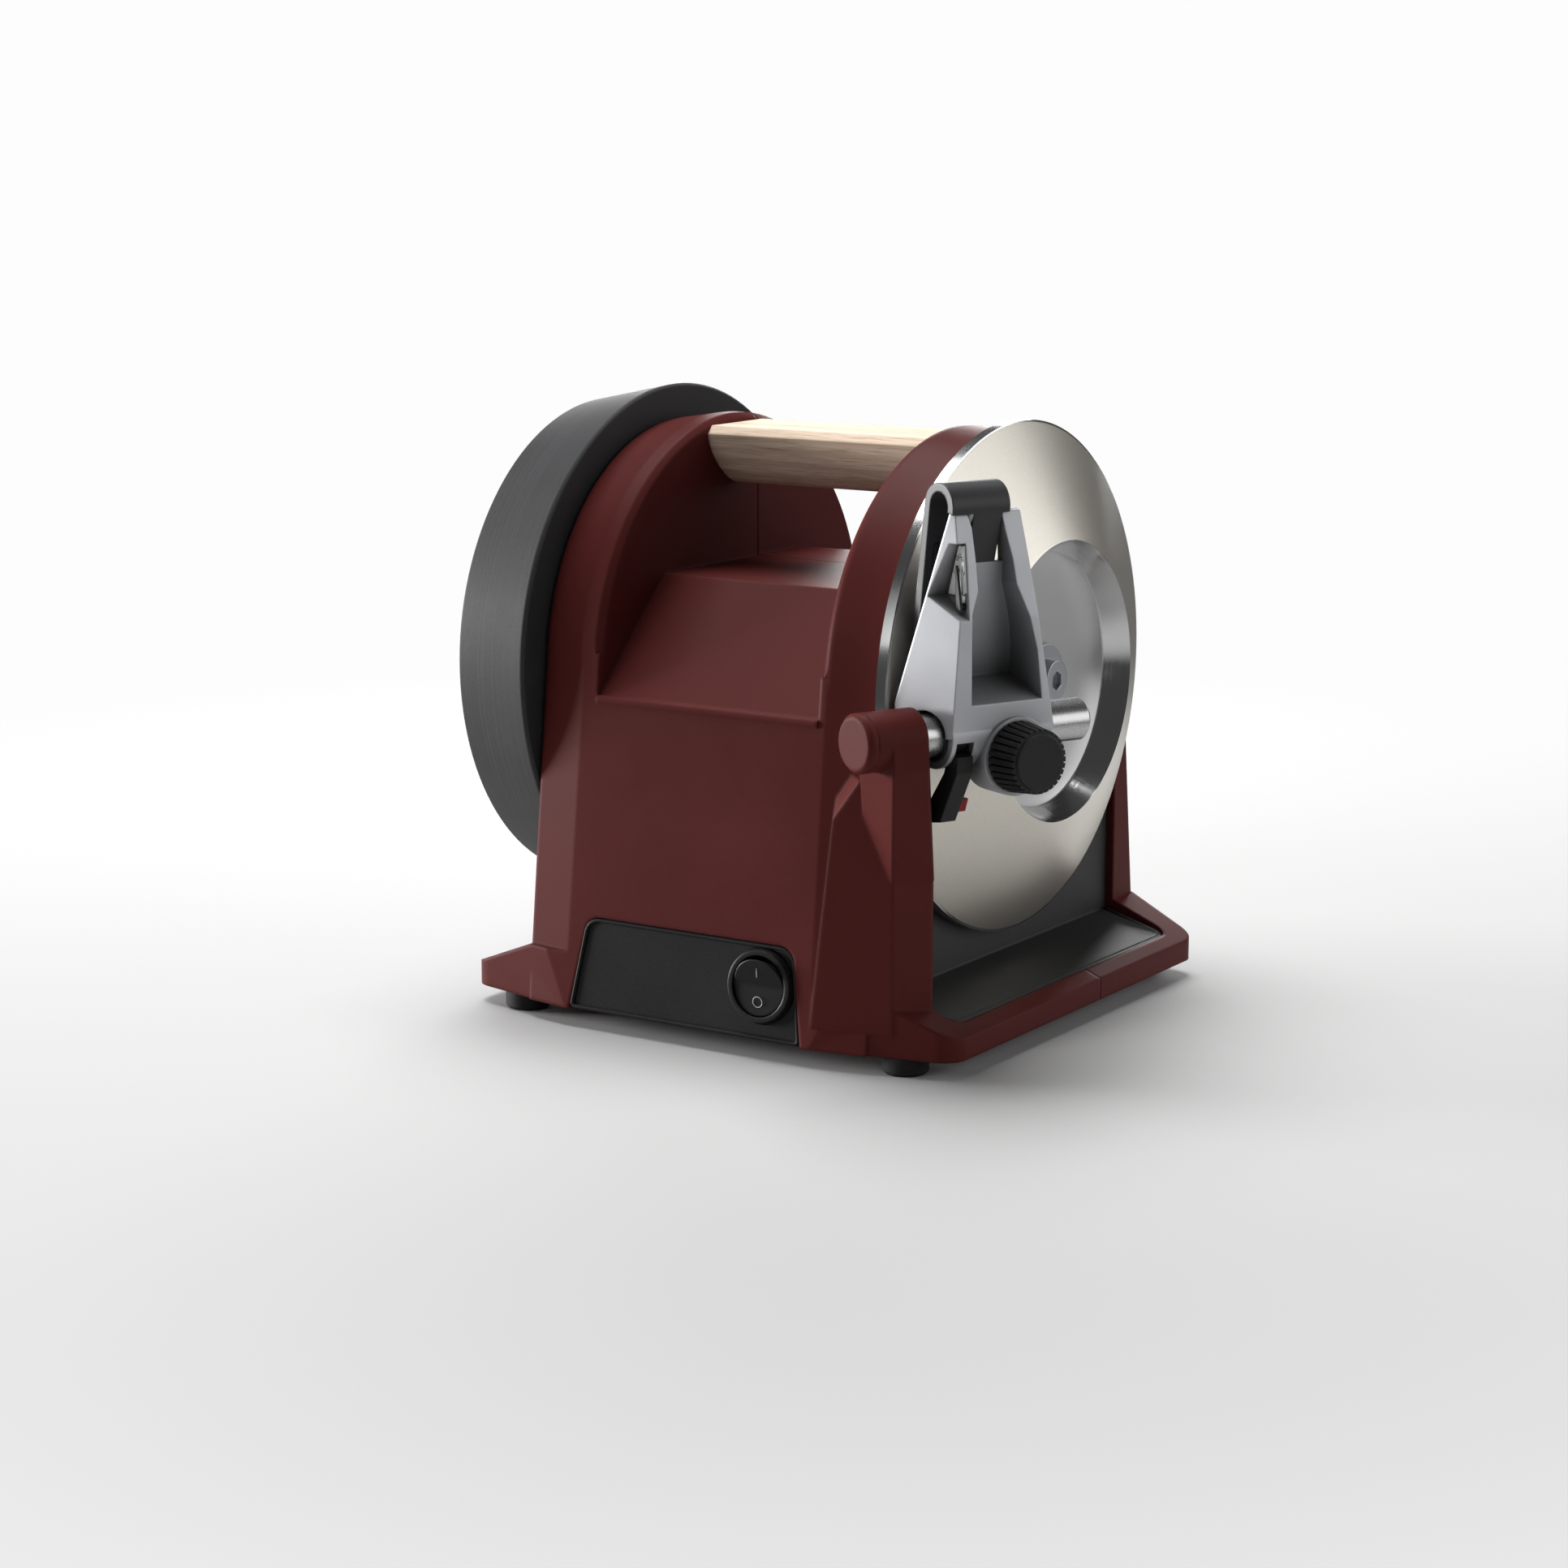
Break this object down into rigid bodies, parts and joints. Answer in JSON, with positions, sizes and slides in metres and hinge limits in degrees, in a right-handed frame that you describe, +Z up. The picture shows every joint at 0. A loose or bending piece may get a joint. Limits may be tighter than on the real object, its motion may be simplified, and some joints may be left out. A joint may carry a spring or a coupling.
{
  "type": "electric knife sharpener",
  "caption": "Two-wheel electric knife sharpener with honing wheel, coned diamond disc, wooden handle and a sliding, tilting knife guide on a steel bar.",
  "frame": {"origin": "on the table, under the middle of the bounding box", "axes": "+X along the main shaft from the honing wheel to the diamond disc, +Y from the front to the rear, +Z up"},
  "size_m": [0.2348, 0.2158, 0.2128],
  "materials": {
    "paint": "cast, painted satin red, fine texture",
    "cover_plastic": "matte, fine grain",
    "panel_plastic": "satin",
    "black_gloss": "glossy",
    "black_plastic": "satin",
    "jaw_plastic": "satin",
    "light_plastic": "satin",
    "red_plastic": "satin",
    "rubber": "matte",
    "oak": "oiled oak",
    "polished_steel": "polished",
    "zinc_steel": "zinc plated",
    "drive_casting": "cast",
    "honing_compound": "matte, fine grit",
    "diamond_face": "fine diamond grit on steel",
    "stator_iron": "stacked sheets",
    "shield_aluminium": "cast",
    "grey_casting": "satin grey"
  },
  "bodies": {
    "housing": {"front_housing": "paint", "rear_housing": "paint", "side_cover": "cover_plastic", "switch_panel": "panel_plastic", "switch_bezel": "black_gloss", "switch_body": "black_plastic", "base_plate": "cover_plastic", "base_screws": "zinc_steel", "housing_screws": "zinc_steel", "foot_front_left": "rubber", "foot_front_right": "rubber", "foot_rear_left": "rubber", "foot_rear_right": "rubber", "handle": "oak", "handle_screws": "zinc_steel", "guide_bar": "polished_steel", "bar_cap": "paint", "left_bearing": "zinc_steel", "right_bearing": "zinc_steel", "motor_cradle": "zinc_steel", "motor_stator": "stator_iron", "left_shield": "shield_aluminium", "right_shield": "shield_aluminium", "run_capacitor": "shield_aluminium", "terminal_block": "light_plastic", "cord_gland": "black_plastic"},
    "spindle": {"main_shaft": "polished_steel", "drive_wheel": "drive_casting", "drive_tyre": "rubber", "honing_wheel": "honing_compound", "honing_flange": "zinc_steel", "honing_nut": "zinc_steel", "diamond_wheel": "diamond_face", "disc_washer": "zinc_steel", "wheel_screw": "zinc_steel"},
    "rotor": {"rotor_core": "stator_iron", "rotor_shaft": "polished_steel", "motor_fan": "black_plastic"},
    "rocker": {"switch_rocker": "black_gloss"},
    "guide_carriage": {"guide_sleeve": "black_plastic", "stop_lever": "black_plastic", "stop_tab": "red_plastic"},
    "knife_guide": {"guide_body": "grey_casting", "scale_plate": "light_plastic", "guide_jaw": "jaw_plastic"},
    "knob": {"angle_knob": "black_plastic"},
    "pointer": {"angle_pointer": "black_plastic"}
  },
  "joints": [
    {"name": "spindle_turn", "type": "hinge", "parent": "housing", "child": "spindle", "pos_m": [-0.00663, 0.00731, 0.119], "axis": [1, 0, 0], "continuous": true},
    {"name": "rotor_turn", "type": "hinge", "parent": "housing", "child": "rotor", "pos_m": [-0.00663, 0.00731, 0.041], "axis": [1, 0, 0], "continuous": true},
    {"name": "rocker_tilt", "type": "hinge", "parent": "housing", "child": "rocker", "pos_m": [0.02197, -0.08781, 0.0247], "axis": [1, 0, 0], "range_deg": [-18, 0]},
    {"name": "guide_slide", "type": "slide", "parent": "housing", "child": "guide_carriage", "axis": [0.4147, 0.91, 0], "range_m": [0, 0.018]},
    {"name": "guide_tilt", "type": "hinge", "parent": "guide_carriage", "child": "knife_guide", "pos_m": [0.08888, -0.05887, 0.1132], "axis": [0.4147, 0.91, 0], "range_deg": [-4, 5]},
    {"name": "knob_turn", "type": "hinge", "parent": "knife_guide", "child": "knob", "pos_m": [0.10232, -0.05928, 0.1057], "axis": [0.91, -0.4147, 0], "range_deg": [-120, 150]},
    {"name": "pointer_swing", "type": "hinge", "parent": "knife_guide", "child": "pointer", "pos_m": [0.09015, -0.07681, 0.1552], "axis": [0.4147, 0.91, 0], "range_deg": [-12, 15]}
  ],
  "couplings": [
    {"joint": "rotor_turn", "follows": "spindle_turn", "ratio": -12},
    {"joint": "knob_turn", "follows": "guide_tilt", "ratio": 30},
    {"joint": "pointer_swing", "follows": "guide_tilt", "ratio": 3}
  ]
}
